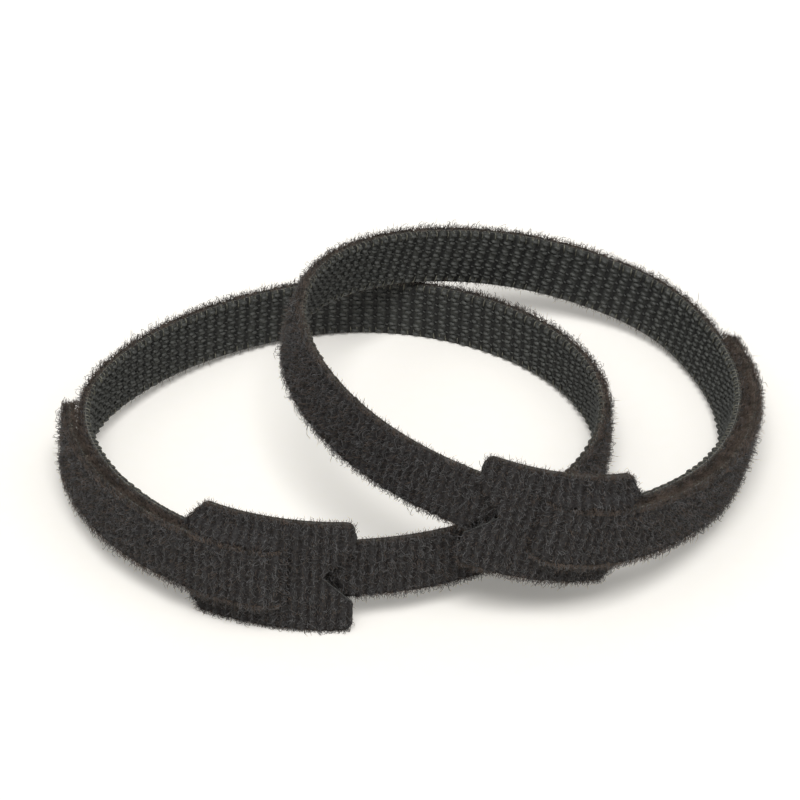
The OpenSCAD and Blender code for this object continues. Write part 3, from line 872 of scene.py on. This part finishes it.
def strap_length(tie, part, s_from, s_to, seed):
    """All the pieces of one length of strap, each with the name of its ply. Curls, hairs and
    fuzz are split along the strap, so that no piece has too many triangles."""
    name = f"{tie['name']}_{part}"
    made = []
    hooks_edge = outline(tie, HOOK_CLOTH + HOOK_CLOTH_T / 2)
    pile_cut = outline(tie, PILE + PILE_T / 2, 0.05, -0.15)  # its fibres close the slot
    rim = outline(tie, PILE + PILE_T / 2, -STRAP_W)  # no slot

    def pile_edge(s, v):
        """The nap of each rib swells a little over the cut."""
        return pile_cut(s, v) - 0.12 * ribs(s, v, seed) - 0.08 * waves(s, v, 1.8, seed + 1)

    for ply, low, thick, cell in (
        ("pile", PILE, PILE_T, FINE_CELL),
        ("loop_cloth", LOOP_CLOTH, LOOP_CLOTH_T, COARSE_CELL),
        ("film", FILM, FILM_T, COARSE_CELL),
        ("hook_cloth", HOOK_CLOTH, HOOK_CLOTH_T, FINE_CELL),
    ):
        edge = pile_edge if ply == "pile" else outline(tie, low + thick / 2)
        cloth = cut_cloth(tie, edge, s_from, s_to, cell)
        s, v = cloth[:2]
        if ply == "pile":
            inner, outer = np.full(len(s), PILE), PILE + nap_height(tie, s, v, rim(s, v), seed)
        elif ply == "hook_cloth":
            inner, outer = hook_cloth_levels(cloth)
        else:
            inner, outer = (np.full(len(s), x) for x in (low, low + thick))
        made.append((ply, slab(f"{name}_{ply}_piece", tie, cloth, inner, outer, MATERIALS[ply])))
    cuts = np.linspace(s_from, s_to, max(1, round((s_to - s_from) / PIECE_LEN)) + 1)
    for k, (a, b) in enumerate(zip(cuts, cuts[1:])):
        curls = pile_curls(f"{name}_pile_curls_{k + 1}", tie, pile_edge, a, b, seed + 10 + k, seed)
        hairs = pile_hairs(f"{name}_pile_hairs_{k + 1}", tie, pile_edge, a, b, seed + 20 + k, seed)
        fuzz = edge_fuzz(f"{name}_edge_fuzz_{k + 1}", tie, rim, a, b, seed + 30 + k)
        made += [("pile", curls), ("pile", hairs), ("pile", fuzz)]
    curls = edge_curls(f"{name}_edge_curls", tie, rim, s_from, s_to, seed + 40)
    hooks = hook_groups(f"{name}_hook_rows", tie, hooks_edge, s_from, s_to, seed + 50)
    weft = selvedge_turns(f"{name}_selvedge", tie, hooks_edge, s_from, s_to, seed + 60)
    return made + [("pile", curls), ("hooks", hooks), ("hook_cloth", weft)]


def dress_tie(tie, seed):
    """Splits the strap halfway between the tail's bend lines. The band's pieces go to the tie's
    body, the tail's pieces have their transforms baked in, and the parts from model.glb are hidden.
    The pieces of each length have seeds of their own."""
    t = tie["name"]
    links = tie["links"]
    bodies = [f"{t}_tie"] + [f"{t}_tail_{k + 1}" for k in range(TAIL_PARTS)]
    cuts = [0.0, links[0] - BLEND_WAY]
    cuts += [(a + b) / 2 for a, b in zip(links, links[1:])] + [tie["len"]]
    for k, (a, b) in enumerate(zip(cuts, cuts[1:])):
        made = strap_length(tie, "band" if k == 0 else f"tail_{k}", a, b, seed + 100 * k)
        for ply, piece in made:
            if k == 0:
                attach(piece, bodies[0])
            else:
                ways = (links[k - 1] - BLEND_WAY, links[k - 1] + BLEND_WAY)
                start, end = (tie_point(tie, way, 0, 0) * MM for way in ways)
                tuple(start)
                tuple(end)
                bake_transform(piece)
        stem = t if k == 0 else f"{t}_tail_{k}"
        for ply in PLIES:
            piece = next(p for name, p in made if name == ply)
            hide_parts(f"{stem}_{ply}")


lower = make_tie("lower", LOWER_BENDS, LOWER_LOOP_R, LOWER_TAIL_LEN)
upper = make_tie("upper", UPPER_BENDS, UPPER_LOOP_R, UPPER_TAIL_LEN)
stand_upper(upper, stand_lower(lower))
dress_tie(lower, LOWER_SEED)
dress_tie(upper, UPPER_SEED)


# --- Floor, light and camera -----------------------------------------------------------------
def pale_floor():
    """Seamless white paper, matt and a little warm. The camera sees it a tenth brighter than it
    lights the ties."""
    m = blank_material("white_paper")
    colour = ramp(m, noise(m, 2.5), 0.2, 0.8, "#fcf9f3", "#fefbf5")
    paper = add(m, "ShaderNodeBsdfDiffuse", [("Color", colour)])
    seen = add(m, "ShaderNodeLightPath").outputs["Is Camera Ray"]
    tenth = add(m, "ShaderNodeMath", [(0, seen)], operation="MULTIPLY")
    tenth.inputs[1].default_value = 0.1
    glow = add(m, "ShaderNodeEmission", [("Color", colour), ("Strength", tenth.outputs[0])])
    both = add(m, "ShaderNodeAddShader", [(0, paper.outputs[0]), (1, glow.outputs[0])])
    add(m, "ShaderNodeOutputMaterial", [("Surface", both.outputs[0])])
    return m


def make_floor():
    """A flat square of paper, 6 m wide, with the ties at its middle."""
    half = 3000.0
    points = np.array([[-half, -half, 0], [half, -half, 0], [half, half, 0], [-half, half, 0]])
    floor = make_piece("floor", points, np.array([[0, 1, 2, 3]]), pale_floor(), smooth=False)


def aim(thing, place, back, right):
    """Stands a lamp or camera at place, in mm. It looks against back, with right to its right."""
    turn_to = Matrix(np.stack([right, np.cross(back, right), back], 1).tolist()).to_4x4()
    turn_to.translation = (np.array(place) * MM).tolist()
    thing.matrix_world = turn_to
    bpy.context.scene.collection.objects.link(thing)


def make_lamp(name, azimuth, elevation, wide, strength):
    """A far, soft lamp, from an azimuth measured from the front towards the right and an
    elevation, wide degrees across."""
    a, e = math.radians(azimuth), math.radians(elevation)
    back = np.array([math.sin(a) * math.cos(e), -math.cos(a) * math.cos(e), math.sin(e)])
    data = bpy.data.lights.new(name, "SUN")
    data.angle = math.radians(wide)
    data.energy = strength
    right = np.cross([0, 1, 0], back)
    aim(bpy.data.objects.new(name, data), back * 500, back, right / np.linalg.norm(right))


def make_camera():
    """Long lens, 33 degrees above the floor, with a slight roll."""
    elevation, roll, distance = math.radians(33.16), math.radians(2.005), 1200.0
    target = np.array([-2.31, 21.20, 0])
    back = np.array([0, -math.cos(elevation), math.sin(elevation)])
    level, up = np.array([1.0, 0, 0]), np.array([0, math.sin(elevation), math.cos(elevation)])
    data = bpy.data.cameras.new("camera")
    data.sensor_width = 36
    data.lens = 314
    data.clip_start, data.clip_end = 0.05, 20
    camera = bpy.data.objects.new("camera", data)
    aim(camera, target + back * distance, back, level * math.cos(roll) + up * math.sin(roll))
    bpy.context.scene.camera = camera


def make_world():
    """Weak, even light from all round, a trace yellow."""
    world = bpy.data.worlds.new("studio")
    bpy.context.scene.world = world
    world.use_nodes = True
    background = world.node_tree.nodes["Background"]
    background.inputs["Color"].default_value = (1, 1, 0.985, 1)
    background.inputs["Strength"].default_value = 0.32


make_floor()
make_lamp("key", 0, 60, 30, 1.9)
make_lamp("left", -50, 55, 50, 0.42)
make_lamp("right", 50, 55, 50, 0.42)
make_world()
make_camera()
bpy.context.scene.view_settings.view_transform = "Standard"
